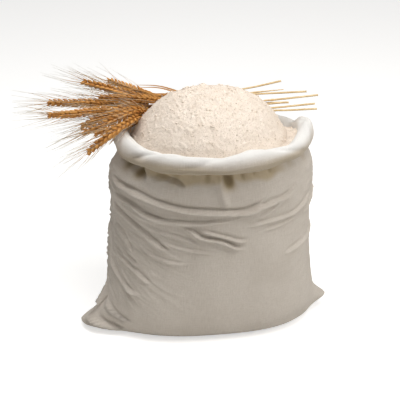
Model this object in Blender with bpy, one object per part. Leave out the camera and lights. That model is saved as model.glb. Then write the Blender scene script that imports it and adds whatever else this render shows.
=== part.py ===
"""An open cotton sack of wholemeal flour with a bunch of ripe wheat laid across its mouth.

Metres, +Z up.  The origin is the middle of the base on the floor; the sack is widest along X and
its front faces -Y.  A bearing is measured round the sack from the front, growing toward +X.
"""
import math

import bpy
from mathutils import Vector

# ---------------------------------------------------------------- driving sizes
COLUMNS = 72             # vertical lines of the sack
CLOTH = 0.0045           # wall of the sack
SETTLE = 0.00035         # space kept between the sack and the flour
MOUTH_BACK = -0.002      # where the mouth's middle sits along Y
FLOUR_EDGE = 0.3050      # where the flour meets the sack
TROUGH = 0.3000          # flour level behind the heap
HEAP_RISE = 0.0710       # heap above the trough
HEAP_AT = (-0.005, -0.012)
HEAP_WIDE = 0.115
HEAP_FRONT = 0.1075
HEAP_BACK = 0.052

# height, half width and half depth of the filled wall, floor to neck
WALL = (
    (0.000, 0.134, 0.074),
    (0.004, 0.146, 0.086),
    (0.014, 0.156, 0.097),
    (0.034, 0.160, 0.105),
    (0.070, 0.155, 0.110),
    (0.120, 0.150, 0.112),
    (0.180, 0.148, 0.111),
    (0.225, 0.150, 0.113),
    (0.262, 0.147, 0.115),
    (0.294, 0.1325, 0.1165),
)
WALL_RINGS = 21          # rings above the rounded foot
FOOT = (0.0, 0.004, 0.012, 0.024, 0.038)
SQUARE_FOOT = 2.6        # how oblong the rings are at the floor
SQUARE_NECK = 2.1        # and at the neck

# the rolled rim: half width and depth of its middle line, its height, thickness and drop
MOUTH_WIDE = 0.1378
MOUTH_DEEP = 0.1290
MOUTH_HIGH = 0.3040
ROLL_HALF_THICK = 0.0102
ROLL_HALF_HIGH = 0.0146
ROLL_STEPS = 10
RIM_INSIDE = 0.2990       # where the inside of the roll meets the inner wall
NECK_INSIDE = 0.2880
FLOOR_INSIDE = 0.0120
SLUMP = 0.026            # how much lower the mouth hangs at the back
DRAWN_IN = 0.08          # and the share by which it lies nearer
INNER_RINGS = 8

# drag folds: depth, half width, ridge beside it, then bearing and height (mm) of points along it
FOLDS = (
    (5.0, 8.0, 3.0, ((-84, 262), (-72, 251), (-52, 247), (-35, 239), (-19, 231), (-3, 226),
                     (9, 222), (20, 226), (41, 232), (58, 240))),
    (3.0, 8.0, 1.5, ((-60, 222), (-45, 216), (-36, 211), (-19, 208), (-6, 208), (6, 212))),
    (3.0, 7.0, 2.0, ((-20, 199), (-14, 196), (-9, 187), (-1, 179), (5, 166))),
    (3.5, 8.0, 2.0, ((-74, 212), (-68, 204), (-47, 186), (-33, 167))),
    (2.5, 7.0, 1.5, ((-80, 186), (-72, 173), (-65, 165), (-60, 150))),
    (3.0, 9.0, 1.5, ((-84, 108), (-62, 88), (-52, 82), (-40, 80))),
    (2.5, 8.0, 1.0, ((-72, 122), (-61, 121), (-44, 109))),
    (2.5, 8.0, 1.5, ((21, 199), (35, 200), (45, 198), (60, 206))),
    (3.0, 10.0, 1.0, ((43, 142), (55, 148), (67, 149), (84, 160))),
    (4.0, 7.0, 1.0, ((-80, 284), (-61, 283), (-50, 277), (-42, 271))),
    (4.0, 6.0, 1.0, ((-2, 282), (-1, 262), (1, 244), (5, 234))),
    (4.5, 10.0, 2.0, ((118, 262), (140, 248), (165, 238), (190, 236), (215, 246), (236, 262))),
    (3.5, 9.0, 1.5, ((110, 210), (135, 196), (160, 190), (180, 192))),
    (3.0, 9.0, 1.5, ((250, 214), (225, 196), (205, 186))),
    (3.0, 9.0, 1.0, ((115, 120), (140, 104), (165, 98))),
)

# corner ears: side, reach, middle along Y, half width along Y, height of the tip, half height
EARS = (
    (-1, 0.053, -0.030, 0.027, 0.005, 0.026),
    (1, 0.020, -0.020, 0.020, 0.021, 0.012),
)

# straw and ear of each stalk in mm, cut end first and tip last
STALKS = (
    (((117, 66, 346), (72, 66, 338), (29, 66, 333), (-11, 67, 331), (-46, 61, 334)),
     ((-72, 62, 332), (-108, 84, 339), (-141, 112, 344))),
    (((119, 54, 337), (67, 57, 333), (18, 59, 327), (-27, 58, 327), (-68, 52, 332)),
     ((-96, 57, 336), (-139, 72, 345), (-184, 84, 356))),
    (((152, 46, 335), (94, 49, 334), (39, 51, 334), (-11, 52, 335), (-56, 47, 329)),
     ((-86, 44, 337), (-123, 50, 338), (-160, 57, 338))),
    (((169, 42, 330), (88, 44, 325), (13, 60, 320), (-55, 51, 320), (-118, 47, 325)),
     ((-162, 49, 333), (-198, 52, 334), (-237, 55, 336))),
    (((124, 39, 322), (66, 51, 319), (12, 67, 320), (-38, 68, 317), (-82, 55, 322)),
     ((-110, 41, 331), (-148, 21, 325), (-191, 15, 311))),
    (((112, 35, 324), (42, 49, 315), (-24, 54, 315), (-84, 47, 317), (-130, 14, 332)),
     ((-160, 19, 333), (-198, 14, 333), (-237, 7, 336))),
    (((102, 27, 314), (52, 43, 309), (4, 59, 304), (-40, 54, 305), (-79, 41, 314)),
     ((-100, 28, 328), (-134, 0, 335), (-178, 9, 321))),
    (((160, 22, 325), (88, 33, 317), (24, 60, 307), (-36, 60, 308), (-88, 31, 321)),
     ((-108, 2, 337), (-146, -18, 332), (-190, -11, 312))),
    (((158, 0, 326), (94, 20, 319), (33, 41, 321), (-23, 50, 322), (-75, 36, 313)),
     ((-105, 17, 318), (-128, -23, 327), (-176, -42, 323))),
    (((106, 25, 321), (45, 40, 313), (-13, 50, 308), (-64, 35, 316), (-102, 6, 326)),
     ((-117, -26, 335), (-149, -51, 327), (-186, -54, 299))),
)
STRAW_RADIUS = 0.0014
EAR_RADIUS = 0.0056
EAR_NOTCH = 0.0044       # radius between two rows of grains
GRAIN_ROWS = 11
AWN_LENGTH = 0.042
AWN_RADIUS = 0.0005
SPAN_STEPS = 8


# ---------------------------------------------------------------- scene helpers
def clear():
    for item in list(bpy.data.objects):
        bpy.data.objects.remove(item, do_unlink=True)


def collection(name):
    made = bpy.data.collections.new(name)
    bpy.context.scene.collection.children.link(made)
    return made


def material(name, colour, roughness):
    made = bpy.data.materials.new(name)
    made.use_nodes = True
    shader = made.node_tree.nodes["Principled BSDF"]
    shader.inputs["Base Color"].default_value = (*colour, 1.0)
    shader.inputs["Roughness"].default_value = roughness
    shader.inputs["Metallic"].default_value = 0.0
    return made


def add_mesh(name, points, faces, surface, home):
    mesh = bpy.data.meshes.new(name)
    mesh.from_pydata(points, [], faces)
    mesh.materials.append(surface)
    for face in mesh.polygons:
        face.use_smooth = len(face.vertices) < 6
    made = bpy.data.objects.new(name, mesh)
    home.objects.link(made)
    return made


# ---------------------------------------------------------------- loft helpers
def bearing(column):
    return 2.0 * math.pi * column / COLUMNS


def power(value, exponent):
    return math.copysign(abs(value) ** exponent, value)


def oval(turn, half_wide, half_deep, square):
    """A point of a rounded-oblong ring; turn 0 is the front."""
    x = half_wide * power(math.sin(turn), 2.0 / square)
    y = -half_deep * power(math.cos(turn), 2.0 / square)
    return x, y + MOUTH_BACK


def ease(before, start, end, after, part):
    """One place on the smooth line that runs through four points or values."""
    bend = 2.0 * before - 5.0 * start + 4.0 * end - after
    twist = 3.0 * start - before - 3.0 * end + after
    return 0.5 * (2.0 * start + (end - before) * part + bend * part ** 2 + twist * part ** 3)


def wall_at(height):
    """Half width, half depth and squareness of the filled wall at a height."""
    square = SQUARE_FOOT + (SQUARE_NECK - SQUARE_FOOT) * height / WALL[-1][0]
    last = len(WALL) - 1
    low = max(index for index in range(last) if WALL[index][0] <= height)
    part = (height - WALL[low][0]) / (WALL[low + 1][0] - WALL[low][0])
    if low < 3:
        sizes = [a + (b - a) * part for a, b in zip(WALL[low][1:], WALL[low + 1][1:])]
        return (*sizes, square)
    around = [WALL[min(max(low + step, 0), last)][1:] for step in (-1, 0, 1, 2)]
    return (*[ease(*values, part) for values in zip(*around)], square)


def soft_step(value, low, high):
    part = min(1.0, max(0.0, (value - low) / (high - low)))
    return part * part * (3.0 - 2.0 * part)


def slumped(point):
    """The back of the mouth hangs lower and nearer than the front."""
    x, y, z = point
    rim = soft_step(math.hypot(x / MOUTH_WIDE, y / MOUTH_DEEP), 0.70, 0.95)
    behind = rim * soft_step(y, -0.015, 0.045) * soft_step(z, 0.190, 0.285)
    return x, y * (1.0 - DRAWN_IN * behind), z - SLUMP * behind


def spread(start, end, count):
    return [start + (end - start) * index / (count - 1) for index in range(count)]


def stitch(rings, count):
    """Quads between neighbouring rings, the first ring lowest on the outside."""
    faces = []
    for ring in range(rings - 1):
        for column in range(count):
            after = (column + 1) % count
            low, high = ring * count, (ring + 1) * count
            faces.append((low + column, low + after, high + after, high + column))
    return faces


# ---------------------------------------------------------------- sack
def nearest(along, up, points):
    """Distance from a fold's line, its signed height over the line and how far along it is."""
    best = (1.0e9, 0.0, 0.0)
    spans = len(points) - 1
    for index in range(spans):
        (ax, ay), (bx, by) = points[index], points[index + 1]
        dx, dy = bx - ax, by - ay
        part = ((along - ax) * dx + (up - ay) * dy) / (dx * dx + dy * dy)
        part = min(1.0, max(0.0, part))
        gap_x, gap_y = along - ax - part * dx, up - ay - part * dy
        gap = math.hypot(gap_x, gap_y)
        if gap < best[0]:
            best = (gap, gap_y, (index + part) / spans)
    return best


def fold_depth(turn, height):
    """How far the drag folds pull the cloth in at a place on the wall."""
    total = 0.0
    up = height * 1000.0
    for depth, half, ridge, line in FOLDS:
        degrees = math.degrees(turn)
        middle = 0.5 * (line[0][0] + line[-1][0])
        degrees += 360.0 * round((middle - degrees) / 360.0)
        arc = 2.3
        points = [(place * arc, level) for place, level in line]
        gap, over, along = nearest(degrees * arc, up, points)
        fade = min(1.0, 5.0 * along, 5.0 * (1.0 - along)) if 0.0 < along < 1.0 else 0.0
        valley = math.exp(-(gap / half) ** 2)
        crest = math.exp(-((gap - 1.6 * half) / half) ** 2) if over < 0.0 else 0.0
        total += fade * (depth * valley - ridge * crest)
    return total / 1000.0


def sag(turn, height):
    """Slow swells of the filled cloth."""
    belly = math.sin(math.pi * min(1.0, height / 0.29))
    swell = 0.0022 * math.sin(3.0 * turn + 9.0 * height + 0.6)
    swell += 0.0016 * math.sin(5.0 * turn - 21.0 * height)
    swell += 0.0014 * math.sin(2.0 * turn + 34.0 * height + 1.1)
    return belly * swell


def ear_reach(side, y, height):
    """How far a bottom corner sticks out beyond the plain wall."""
    total = 0.0
    for which, reach, middle, half_deep, tip, half_high in EARS:
        if which != side:
            continue
        drop = height - tip
        rise = math.exp(-(drop / half_high) ** 2) if drop > 0.0 else 1.0 - (drop / 0.012) ** 2
        total += reach * max(0.0, rise) * math.exp(-((y - middle) / half_deep) ** 2)
    return total


def wall_ring(height):
    ring = []
    sizes = wall_at(height)
    for column in range(COLUMNS):
        turn = bearing(column)
        x, y = oval(turn, *sizes)
        out = Vector((x, y - MOUTH_BACK, 0.0)).normalized()
        push = sag(turn, height) - fold_depth(turn, height)
        side = 1 if x > 0.0 else -1
        reach = ear_reach(side, y, height) if abs(math.sin(turn)) > 0.6 else 0.0
        ring.append((x + out.x * push + side * reach, y + out.y * push, height))
    return ring


def rim_lift(turn):
    """The soft rise and fall of the rolled rim."""
    lift = 0.0010 * math.sin(2.0 * turn + 0.9) + 0.0008 * math.sin(5.0 * turn)
    dip = math.exp(-((math.degrees(turn) + 360.0) % 360.0 - 348.0) ** 2 / 200.0)
    return lift - 0.0030 * dip


def rim_girth(turn):
    return 1.0 + 0.06 * math.sin(4.0 * turn + 0.5) + 0.05 * math.sin(7.0 * turn)


def roll_ring(around):
    """One ring of the rolled rim; around is the angle about the roll, 0 outward and 90 up."""
    ring = []
    for column in range(COLUMNS):
        turn = bearing(column)
        girth = rim_girth(turn)
        out = ROLL_HALF_THICK * girth * math.cos(around)
        x, y = oval(turn, MOUTH_WIDE + out, MOUTH_DEEP + out, SQUARE_NECK)
        ring.append((x, y, MOUTH_HIGH + ROLL_HALF_HIGH * girth * math.sin(around) + rim_lift(turn)))
    return ring


def inner_sizes(height, inset):
    """The plain inside of the sack, the same for the cloth and for the flour."""
    lip = ROLL_HALF_THICK * 1.12
    at_rim = (MOUTH_WIDE - lip, MOUTH_DEEP - lip)
    wide, deep, square = wall_at(min(height, NECK_INSIDE))
    within = 2.0 * CLOTH + 0.004 * min(1.0, max(0.0, (NECK_INSIDE - height) / 0.02))
    part = min(1.0, max(0.0, (height - NECK_INSIDE) / (RIM_INSIDE - NECK_INSIDE)))
    wide = (wide - within) * (1.0 - part) + at_rim[0] * part
    deep = (deep - within) * (1.0 - part) + at_rim[1] * part
    return wide - inset, deep - inset, square


def inner_ring(height, inset):
    ring = []
    for column in range(COLUMNS):
        x, y = oval(bearing(column), *inner_sizes(height, inset))
        ring.append((x, y, height))
    return ring


def inner_heights(top):
    """Ring heights of the inside, from the rim down to the floor of the sack."""
    return [top, NECK_INSIDE] + spread(0.270, FLOOR_INSIDE, INNER_RINGS)


def build_sack(surface, home):
    rings = [wall_ring(height) for height in FOOT]
    rings += [wall_ring(height) for height in spread(0.054, WALL[-1][0], WALL_RINGS)]
    rings += [roll_ring(math.radians(angle)) for angle in spread(-95.0, 170.0, ROLL_STEPS)]
    rings += [inner_ring(height, 0.0) for height in inner_heights(RIM_INSIDE)]
    points = [slumped(point) for ring in rings for point in ring]
    faces = stitch(len(rings), COLUMNS)
    faces.append(tuple(reversed(range(COLUMNS))))
    last = (len(rings) - 1) * COLUMNS
    faces.append(tuple(last + column for column in range(COLUMNS)))
    return add_mesh("sack", points, faces, surface, home)


# ---------------------------------------------------------------- flour
def heap_height(x, y):
    """The heaped surface, steep behind and running to the rim in front."""
    dx, dy = x - HEAP_AT[0], y - HEAP_AT[1]
    deep = HEAP_BACK if dy > 0.0 else HEAP_FRONT
    out = math.hypot(dx / HEAP_WIDE, dy / deep)
    level = TROUGH + HEAP_RISE * max(0.0, 1.0 - out ** 3.2)
    near = max(0.0, 1.0 - out ** 2)
    lumps = 0.0022 * math.sin(61.0 * x + 1.0) * math.sin(73.0 * y + 0.4)
    lumps += 0.0014 * math.sin(127.0 * x - 58.0 * y)
    return level + near * lumps


def flour_level(point, edge, share):
    """Blend from the heap to the line where the flour meets the cloth."""
    hold = max(0.0, (share - 0.86) / 0.14)
    hold = hold * hold * (3.0 - 2.0 * hold)
    return heap_height(*point) * (1.0 - hold) + edge * hold


def build_flour(surface, home):
    levels = list(reversed(inner_heights(FLOUR_EDGE)))
    levels[0] += SETTLE
    rings = [inner_ring(height, SETTLE) for height in levels]
    edge = rings[-1]
    for share in (0.955, 0.91, 0.86, 0.80, 0.73, 0.65, 0.56, 0.47, 0.37, 0.27, 0.16, 0.07):
        ring = []
        for x, y, _ in edge:
            here = (HEAP_AT[0] + (x - HEAP_AT[0]) * share, HEAP_AT[1] + (y - HEAP_AT[1]) * share)
            ring.append((*here, flour_level(here, FLOUR_EDGE, share)))
        rings.append(ring)
    points = [slumped(point) for ring in rings for point in ring]
    faces = stitch(len(rings), COLUMNS)
    faces.append(tuple(reversed(range(COLUMNS))))
    last = (len(rings) - 1) * COLUMNS
    faces.append(tuple(last + column for column in range(COLUMNS)))
    return add_mesh("flour", points, faces, surface, home)


# ---------------------------------------------------------------- wheat
def smooth_line(places, steps):
    line = [Vector(place) / 1000.0 for place in places]
    line = [2.0 * line[0] - line[1]] + line + [2.0 * line[-1] - line[-2]]
    smooth = []
    for index in range(1, len(line) - 2):
        for step in range(steps):
            smooth.append(ease(*line[index - 1:index + 3], step / steps))
    smooth.append(line[-2])
    return smooth


def stalk_sections(straw, ear):
    """Middle line of a stalk and its radius at each place: straw, ear, then one awn."""
    line = smooth_line(straw + ear, SPAN_STEPS)
    first = SPAN_STEPS * len(straw)
    sections = [(line[index], STRAW_RADIUS) for index in range(0, first - 2, 3)]
    sections.append((line[first - 1], STRAW_RADIUS))
    body = line[first:]
    stops = 2 * GRAIN_ROWS
    for stop in range(stops + 1):
        place = stop / stops * (len(body) - 1)
        low = min(int(place), len(body) - 2)
        middle = body[low].lerp(body[low + 1], place - low)
        part = stop / stops
        taper = min(1.0, 0.40 + 5.0 * part, 0.42 + 3.6 * (1.0 - part))
        radius = EAR_RADIUS if stop % 2 else EAR_NOTCH
        sections.append((middle, radius * taper))
    heading = (body[-1] - body[-3]).normalized()
    sections.append((body[-1] + heading * 0.004, AWN_RADIUS * 2.0))
    sections.append((body[-1] + heading * AWN_LENGTH, AWN_RADIUS))
    return sections


def build_stalk(number, straw, ear, surface, home):
    name = f"wheat_{number:02d}"
    sections = stalk_sections(straw, ear)
    curve = bpy.data.curves.new(name, "CURVE")
    curve.dimensions = "3D"
    curve.bevel_depth = 1.0
    curve.bevel_resolution = 1
    curve.use_fill_caps = True
    line = curve.splines.new("POLY")
    line.points.add(len(sections) - 1)
    for point, (place, radius) in zip(line.points, sections):
        point.co = (*place, 1.0)
        point.radius = radius
    curve.materials.append(surface)
    made = bpy.data.objects.new(name, curve)
    home.objects.link(made)
    return made


# ---------------------------------------------------------------- build
def main():
    clear()
    home = collection("flour_sack")
    cotton = material("cotton", (0.69, 0.64, 0.57), 0.92)
    wholemeal = material("wholemeal", (0.84, 0.76, 0.66), 0.95)
    build_sack(cotton, home)
    build_flour(wholemeal, home)
    for number, (straw, ear) in enumerate(STALKS, start=1):
        ripe = material(f"ripe_wheat_{number:02d}", (0.52, 0.27, 0.08), 0.7)
        build_stalk(number, straw, ear, ripe, home)


main()
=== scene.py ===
"""Looks of the open flour sack: cotton with drag folds and a rolled rim, a heap of wholemeal
flour, and a bunch of ripe wheat across the mouth.  Metres; the sack faces -Y.
"""
import math
import random

import bpy
import numpy as np
from mathutils import Matrix, Vector, noise


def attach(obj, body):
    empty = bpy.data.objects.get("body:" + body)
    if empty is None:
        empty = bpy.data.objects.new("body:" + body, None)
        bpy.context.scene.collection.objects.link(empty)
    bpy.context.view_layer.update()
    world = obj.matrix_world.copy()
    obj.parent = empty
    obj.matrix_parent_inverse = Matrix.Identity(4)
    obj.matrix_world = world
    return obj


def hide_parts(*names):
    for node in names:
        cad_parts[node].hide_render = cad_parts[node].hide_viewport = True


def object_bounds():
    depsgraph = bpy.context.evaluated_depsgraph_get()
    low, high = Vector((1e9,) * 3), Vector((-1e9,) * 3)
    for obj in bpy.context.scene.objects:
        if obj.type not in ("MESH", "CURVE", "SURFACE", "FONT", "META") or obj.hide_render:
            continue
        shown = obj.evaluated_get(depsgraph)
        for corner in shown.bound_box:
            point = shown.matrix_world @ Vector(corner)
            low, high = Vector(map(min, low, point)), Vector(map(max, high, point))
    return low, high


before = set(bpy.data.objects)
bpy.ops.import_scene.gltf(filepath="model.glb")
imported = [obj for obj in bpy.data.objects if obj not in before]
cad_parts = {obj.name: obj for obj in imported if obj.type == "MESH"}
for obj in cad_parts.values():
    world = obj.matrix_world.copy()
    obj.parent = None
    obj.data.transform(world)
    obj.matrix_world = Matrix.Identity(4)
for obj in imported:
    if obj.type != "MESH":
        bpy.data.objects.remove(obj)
cad_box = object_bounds()

# ---------------------------------------------------------------- sizes of the cloth
COLUMNS = 400
MOUTH_BACK = -0.002
WALL = (
    (0.000, 0.134, 0.074), (0.004, 0.146, 0.086), (0.014, 0.156, 0.097), (0.034, 0.160, 0.105),
    (0.070, 0.155, 0.110), (0.120, 0.150, 0.112), (0.180, 0.148, 0.111), (0.225, 0.150, 0.113),
    (0.262, 0.147, 0.115), (0.294, 0.1325, 0.1165),
)
SQUARE_FOOT, SQUARE_NECK = 2.6, 2.1
MOUTH_WIDE, MOUTH_DEEP, MOUTH_HIGH = 0.1378, 0.1290, 0.3040
SLUMP, DRAWN_IN = 0.026, 0.08
ROLL_HALF_THICK, ROLL_HALF_HIGH = 0.0102, 0.0146
FOLD_SCALE = 1.7        # how strongly the drag folds stand out
ARC = 2.3               # millimetres round the wall for one degree of bearing
THREAD = 0.0011         # spacing of the cloth's threads

# drag folds: ridge, half width and valley above it in mm, then bearing and height (mm) along it
FOLDS = (
    (3.6, 3.0, 3.8, ((-90, 258), (-72, 249), (-52, 246), (-35, 237), (-19, 229), (-3, 225), (9, 221),
                     (20, 225), (41, 231), (56, 238))),
    (2.4, 2.6, 2.2, ((-52, 220), (-36, 211), (-19, 209), (-6, 209), (6, 212))),
    (2.6, 2.4, 2.4, ((-20, 204), (-14, 197), (-9, 186), (-1, 179), (5, 166), (12, 161))),
    (2.0, 2.2, 1.8, ((-10, 198), (-4, 192), (6, 177), (13, 174))),
    (2.8, 2.8, 3.0, ((-78, 214), (-68, 204), (-47, 186), (-33, 167), (-26, 160))),
    (2.2, 2.6, 2.4, ((-74, 232), (-65, 227), (-53, 224), (-43, 215), (-35, 210), (-26, 206))),
    (2.4, 2.4, 2.0, ((-80, 184), (-72, 173), (-65, 165), (-60, 150), (-58, 142))),
    (2.6, 2.8, 2.2, ((-88, 114), (-76, 102), (-62, 88), (-52, 82), (-43, 80))),
    (1.8, 2.6, 1.4, ((-78, 128), (-61, 121), (-44, 109), (-36, 104))),
    (1.6, 2.4, 1.4, ((-84, 152), (-70, 140), (-58, 130), (-46, 124))),
    (1.6, 2.4, 1.4, ((-66, 200), (-54, 190), (-42, 176), (-36, 166))),
    (1.4, 2.2, 1.2, ((-40, 196), (-30, 190), (-18, 184), (-10, 176))),
    (1.2, 2.2, 1.2, ((-34, 178), (-22, 170), (-10, 163), (0, 160))),
    (1.2, 2.4, 1.0, ((-52, 166), (-40, 152), (-26, 144), (-12, 142))),
    (5.0, 3.2, 4.6, ((-94, 66), (-87, 46), (-79, 28), (-70, 16), (-60, 10), (-50, 9))),
    (2.8, 2.4, 2.4, ((-82, 48), (-69, 37), (-57, 30), (-48, 26))),
    (3.0, 2.2, 3.0, ((-97, 26), (-90, 18), (-84, 10), (-78, 5))),
    (1.8, 2.0, 1.6, ((-76, 14), (-68, 8), (-58, 5))),
    (1.6, 2.4, 1.2, ((4, 213), (8, 216), (15, 223), (22, 232), (28, 242))),
    (1.4, 2.6, 1.2, ((18, 208), (23, 211), (41, 233), (52, 248))),
    (1.8, 2.6, 1.2, ((10, 196), (21, 199), (45, 198), (58, 206), (70, 218))),
    (1.2, 2.6, 1.0, ((20, 186), (36, 188), (54, 196))),
    (1.4, 3.0, 1.0, ((36, 138), (43, 142), (67, 149), (84, 164))),
    (1.4, 3.0, 1.0, ((56, 188), (70, 200), (86, 224))),
    (-4.6, 4.2, 0.0, ((-82, 289), (-70, 285), (-58, 280), (-50, 275), (-44, 269))),
    (-2.6, 3.4, 0.0, ((-40, 284), (-32, 279), (-24, 273), (-18, 266))),
    (3.0, 5.0, 4.2, ((118, 258), (140, 244), (165, 234), (190, 232), (215, 242), (240, 258))),
    (2.4, 4.0, 3.0, ((108, 222), (130, 204), (158, 194), (182, 196))),
    (2.2, 4.0, 2.6, ((256, 226), (236, 206), (214, 190))),
    (2.0, 4.0, 2.2, ((112, 132), (138, 112), (165, 104))),
    (2.0, 4.0, 2.2, ((250, 120), (228, 104), (206, 98))),
)

# puckers hanging from the rim: bearing, depth (mm), half width (degrees) and length (mm)
PUCKERS = (
    (-66, 2.6, 4.0, 22), (-53, 4.4, 4.0, 26), (-39, 2.2, 3.0, 20),
    (-27, 2.6, 4.0, 26), (-16, 1.8, 2.6, 18), (-8, 3.0, 2.6, 24), (2.6, 6.5, 2.8, 34),
    (11, 3.0, 2.2, 22), (18, 2.2, 1.8, 16), (29, 2.6, 2.6, 18), (46, 1.5, 3.0, 16),
    (64, 1.6, 3.4, 20), (100, 2.4, 4.0, 26), (124, 2.0, 3.0, 20), (147, 3.2, 4.0, 30),
    (171, 2.4, 3.2, 22), (196, 3.4, 4.0, 30), (222, 2.2, 3.4, 22), (248, 2.8, 4.0, 26),
)
PLEAT = (-2.0, 4.8, 1.7)          # the one upright pleat: bearing, height, half width

# dents pressed across the rolled rim: bearing, slant, half width and depth (mm)
DENTS = (
    (-47, 0.16, 4.0, 4.2), (-84, -0.10, 4.0, 1.6), (-10, 0.16, 6.0, 2.8), (12, -0.05, 5.0, 0.9),
    (41, -0.22, 5.0, 2.0), (74, 0.16, 5.0, 2.0), (94, -0.14, 5.0, 1.6),
    (118, 0.2, 6.0, 2.4), (146, -0.2, 6.0, 2.2), (174, 0.2, 6.0, 2.4), (203, -0.2, 6.0, 2.2), (228, 0.2, 6.0, 2.4), (252, -0.1, 6.0, 2.0),
)

# corner ears: side, reach, middle along Y, half width along Y, height of the tip, half height
EARS = (
    (-1, 0.053, -0.030, 0.025, 0.006, 0.026),
    (1, 0.021, -0.020, 0.016, 0.022, 0.011),
)

# ---------------------------------------------------------------- sizes of the flour
TROUGH = 0.3000
HEAP_RISE = 0.0710
HEAP_AT = (-0.005, -0.012)
HEAP_WIDE, HEAP_FRONT, HEAP_BACK = 0.115, 0.1125, 0.052
GRAIN = 0.0010           # spacing of the flour's relief
CRUMB_COUNT, BRAN_COUNT = 1300, 2600

# ---------------------------------------------------------------- the wheat's routes, mm
STALKS = (
    (((117, 66, 346), (72, 66, 338), (29, 66, 333), (-11, 67, 331), (-46, 61, 334)),
     ((-72, 62, 332), (-108, 84, 339), (-141, 112, 344))),
    (((119, 54, 337), (67, 57, 333), (18, 59, 327), (-27, 58, 327), (-68, 52, 332)),
     ((-96, 57, 336), (-139, 72, 345), (-184, 84, 356))),
    (((152, 46, 335), (94, 49, 334), (39, 51, 334), (-11, 52, 335), (-56, 47, 329)),
     ((-86, 44, 337), (-123, 50, 338), (-160, 57, 338))),
    (((169, 42, 330), (88, 44, 325), (13, 60, 320), (-55, 51, 320), (-118, 47, 325)),
     ((-162, 49, 333), (-198, 52, 334), (-237, 55, 336))),
    (((124, 39, 322), (66, 51, 319), (12, 67, 320), (-38, 68, 317), (-82, 55, 322)),
     ((-110, 41, 331), (-148, 21, 325), (-191, 15, 311))),
    (((112, 35, 324), (42, 49, 315), (-24, 54, 315), (-84, 47, 317), (-130, 14, 332)),
     ((-160, 19, 333), (-198, 14, 333), (-237, 7, 336))),
    (((102, 27, 314), (52, 43, 309), (4, 59, 304), (-40, 54, 305), (-79, 41, 314)),
     ((-100, 28, 328), (-134, 0, 335), (-178, 9, 321))),
    (((160, 22, 325), (88, 33, 317), (24, 60, 307), (-36, 60, 308), (-88, 31, 321)),
     ((-108, 2, 337), (-146, -18, 332), (-190, -11, 312))),
    (((158, 0, 326), (94, 20, 319), (33, 41, 321), (-23, 50, 322), (-75, 36, 313)),
     ((-105, 17, 318), (-128, -23, 327), (-176, -42, 323))),
    (((106, 25, 321), (45, 40, 313), (-13, 50, 308), (-64, 35, 316), (-102, 6, 326)),
     ((-117, -26, 335), (-149, -51, 327), (-186, -54, 299))),
)
STRAW_RADIUS = 0.0015
EAR_NODES = 31
HUSK_LONG = 0.0105
AWN_LONG = 0.058
AWN_RADIUS = 0.00022
AWNS_LEFT_OUT = 0.50     # share of the husks that carry no awn
AWN_STEPS = 6
EAR_POINTS = 80
TUBE_SIDES = 10
HUSK_HALF_WIDE, HUSK_HALF_DEEP = 0.00230, 0.00190
BLADE_HALF_WIDE = 0.0030

# ---------------------------------------------------------------- colours and light
COTTON_PLAIN = (0.640, 0.580, 0.510)
COTTON_SHADE = (0.560, 0.500, 0.430)
COTTON_FIBRE = (0.710, 0.655, 0.590)
# painted shade: a tan shade under the rolled rim and on its underside, and a deeper shade in the
# puckers
COTTON_WARM_SHADE = (0.500, 0.400, 0.250)
COTTON_DEEP_SHADE = (0.270, 0.205, 0.120)
# the top of the rolled rim lightened, partly flour dusting and partly a painted highlight
COTTON_DUST_AND_HIGHLIGHT = (0.830, 0.810, 0.775)
FLOUR_PLAIN = (0.830, 0.735, 0.640)
FLOUR_SHADE = (0.780, 0.680, 0.580)
FLOUR_MEAL = (0.640, 0.530, 0.430)
FLOUR_BRAN = (0.400, 0.310, 0.240)
HUSK_GOLD = (0.760, 0.390, 0.105)
HUSK_DEEP = (0.470, 0.195, 0.036)
HUSK_RUST = (0.330, 0.120, 0.020)
HUSK_ROOT = (0.150, 0.048, 0.009)
STRAW_PALE = (0.780, 0.610, 0.360)
STRAW_DEEP = (0.620, 0.430, 0.200)
STRAW_BROWN = (0.460, 0.210, 0.050)
AWN_ROOT = (0.440, 0.230, 0.070)
AWN_PALE = (0.560, 0.520, 0.420)
AWN_DEEP = (0.400, 0.360, 0.270)
BRAN_PALE = (0.600, 0.490, 0.380)
BRAN_DEEP = (0.360, 0.270, 0.190)
FLOOR_GLOW = 0.55
SKY = 0.17
CAMERA_AZIMUTH, CAMERA_ELEVATION = math.radians(-8.0), math.radians(27.0)
CAMERA_DISTANCE = 2.0
CAMERA_LENS, CAMERA_SENSOR = 120.0, 36.0     # mm


# ---------------------------------------------------------------- shader expressions
class Value:
    """One output of a node.  Sums and products of values add the nodes that work them out."""

    def __init__(self, board, socket):
        self.board = board
        self.socket = socket

    def __add__(self, other):
        return self.board.reckon("ADD", self, other)

    def __radd__(self, other):
        return self.board.reckon("ADD", other, self)

    def __sub__(self, other):
        return self.board.reckon("SUBTRACT", self, other)

    def __rsub__(self, other):
        return self.board.reckon("SUBTRACT", other, self)

    def __mul__(self, other):
        return self.board.reckon("MULTIPLY", self, other)

    def __rmul__(self, other):
        return self.board.reckon("MULTIPLY", other, self)

    def over(self, other):
        """1 where this value is more than the other."""
        return self.board.reckon("GREATER_THAN", self, other)

    def sine(self):
        return self.board.reckon("SINE", self)

    def largest(self, other):
        return self.board.reckon("MAXIMUM", self, other)

    def scaled(self, factors):
        """A vector stretched along its three axes."""
        return self.board.add("ShaderNodeVectorMath", {"operation": "MULTIPLY"},
                              {0: self, 1: factors}, "Vector")

    def axis(self, name):
        return self.board.add("ShaderNodeSeparateXYZ", {}, {"Vector": self}, name)

    def between(self, low, high):
        """0 below low, 1 above high, and smooth in between."""
        return self.board.add("ShaderNodeMapRange", {"interpolation_type": "SMOOTHSTEP"},
                              {"Value": self, "From Min": low, "From Max": high}, "Result")


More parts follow.
